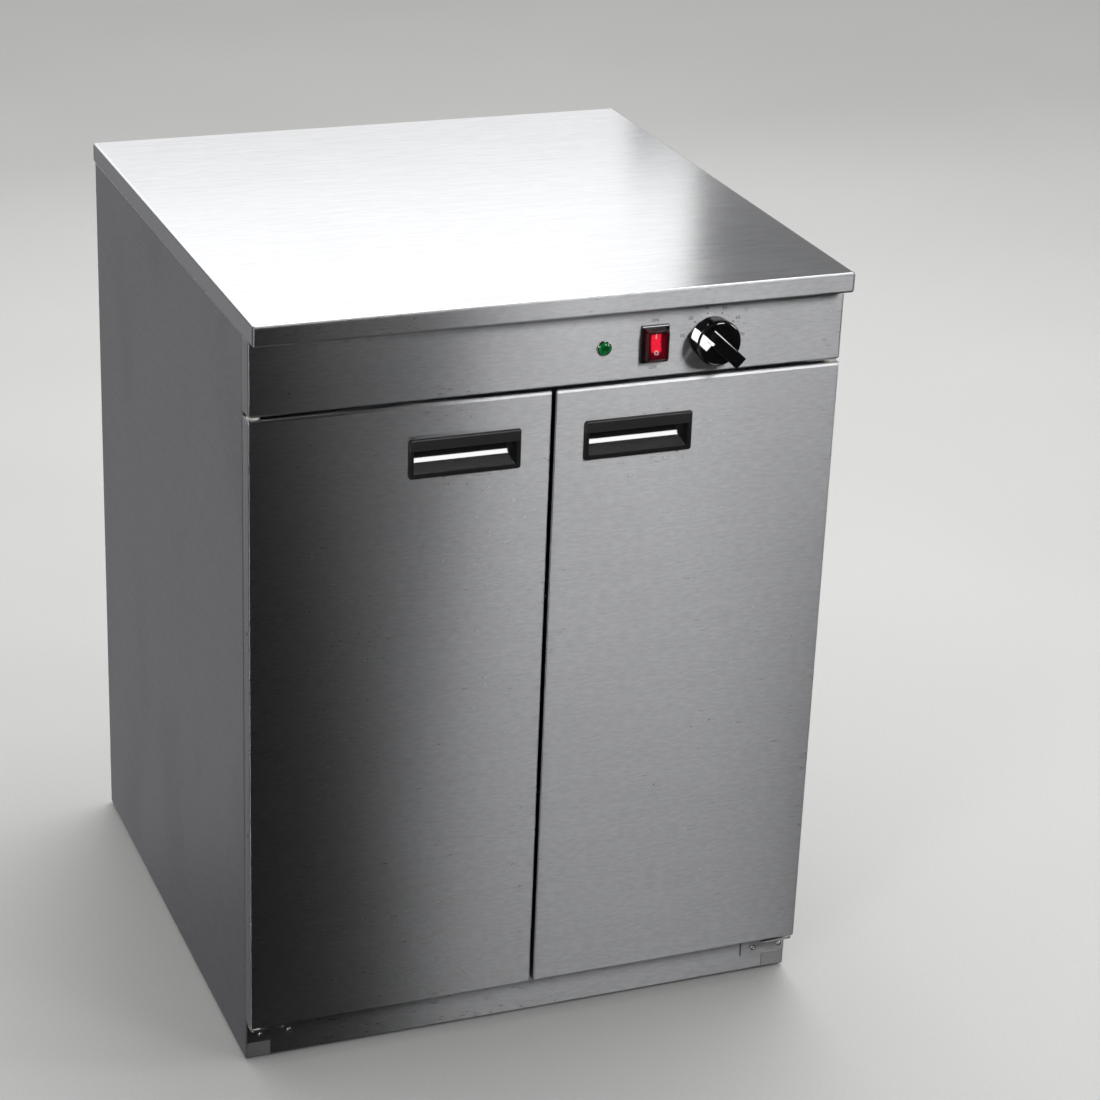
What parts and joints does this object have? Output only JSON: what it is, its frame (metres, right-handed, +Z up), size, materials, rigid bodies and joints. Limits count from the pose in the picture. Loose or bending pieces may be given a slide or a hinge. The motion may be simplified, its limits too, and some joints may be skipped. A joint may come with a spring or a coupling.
{
  "type": "plate warmer cabinet",
  "caption": "Freestanding heated cupboard for plates in folded stainless sheet, with hinged doors, a shelf over a covered heating element, and a thermostat, switch and lamp on the front.",
  "frame": {"origin": "middle of the bounding box in plan, on the floor under the feet", "axes": "+Z up, doors and controls face -Y, +X to the right when facing the doors"},
  "size_m": [0.6, 0.6389, 0.795],
  "materials": {
    "brushed_sheet": "fine horizontal brushed grain",
    "plain_sheet": "dull mill finish",
    "plated_steel": "bright plating",
    "rivet_alloy": "satin",
    "foot_plastic": "moulded black",
    "mineral_wool": "fibrous board",
    "element_sheath": "heat darkened",
    "thermostat_case": "moulded",
    "copper_tube": "drawn tube",
    "knob_plastic": "high gloss black",
    "lamp_ring": "bright ring",
    "green_lens": "translucent green",
    "switch_plastic": "moulded black",
    "red_rocker": "lit translucent red",
    "clear_cover": "clear flexible cover",
    "terminal_ceramic": "unglazed",
    "lead_sleeve": "braided sleeve",
    "gland_plastic": "moulded black",
    "magnet_case": "moulded white",
    "buffer_rubber": "soft black",
    "nylon": "natural nylon",
    "pull_plastic": "black, textured frame and smooth pocket"
  },
  "bodies": {
    "cabinet": {"back_panel": "plain_sheet", "back_panel_rivets": "rivet_alloy", "base_panel": "plain_sheet", "bracket_screws": "plated_steel", "bulb_clips": "plain_sheet", "cable_gland": "gland_plastic", "control_panel": "brushed_sheet", "door_buffers": "buffer_rubber", "door_magnets": "magnet_case", "element_clips": "plain_sheet", "element_cover": "plain_sheet", "foot_nuts": "plated_steel", "head_rail": "plain_sheet", "heating_element": "element_sheath", "insulation_back": "mineral_wool", "insulation_floor": "mineral_wool", "insulation_roof": "mineral_wool", "insulation_sides": "mineral_wool", "lamp_holder": "lamp_ring", "lamp_lens": "green_lens", "levelling_feet": "foot_plastic", "liner_back": "plain_sheet", "liner_floor": "plain_sheet", "liner_left": "plain_sheet", "liner_right": "plain_sheet", "liner_roof": "plain_sheet", "pivot_brackets_left": "plain_sheet", "pivot_brackets_right": "plain_sheet", "plinth_panel": "brushed_sheet", "shelf": "plain_sheet", "shelf_clips": "plain_sheet", "shelf_uprights": "plain_sheet", "side_panel_left": "brushed_sheet", "side_panel_right": "brushed_sheet", "switch_cover": "clear_cover", "switch_frame": "switch_plastic", "terminal_block": "terminal_ceramic", "thermostat": "thermostat_case", "thermostat_capillary": "copper_tube", "wiring_loom": "lead_sleeve", "worktop": "brushed_sheet", "worktop_screws": "plated_steel", "worktop_stiffeners": "plain_sheet"},
    "door_left": {"door_bushes_left": "nylon", "door_core_left": "mineral_wool", "door_inner_left": "plain_sheet", "door_pull_left": "pull_plastic", "door_rivets_left": "plated_steel", "door_skin_left": "brushed_sheet", "door_strike_left": "plated_steel"},
    "door_right": {"door_bushes_right": "nylon", "door_core_right": "mineral_wool", "door_inner_right": "plain_sheet", "door_pull_right": "pull_plastic", "door_rivets_right": "plated_steel", "door_skin_right": "brushed_sheet", "door_strike_right": "plated_steel"},
    "knob": {"control_knob": "knob_plastic", "thermostat_spindle": "plated_steel"},
    "rocker": {"switch_rocker": "red_rocker"}
  },
  "joints": [
    {"name": "door_left_hinge", "type": "hinge", "parent": "cabinet", "child": "door_left", "pos_m": [-0.292, -0.28251, 0.37345], "axis": [0, 0, -1], "range_deg": [0, 110]},
    {"name": "door_right_hinge", "type": "hinge", "parent": "cabinet", "child": "door_right", "pos_m": [0.292, -0.28251, 0.37345], "axis": [0, 0, 1], "range_deg": [0, 110]},
    {"name": "knob_turn", "type": "hinge", "parent": "cabinet", "child": "knob", "pos_m": [0.1602, -0.2905, 0.7355], "axis": [0, -1, 0], "range_deg": [-204, 34]},
    {"name": "rocker_tilt", "type": "hinge", "parent": "cabinet", "child": "rocker", "pos_m": [0.1003, -0.2895, 0.7355], "axis": [1, 0, 0], "range_deg": [0, 16]}
  ]
}
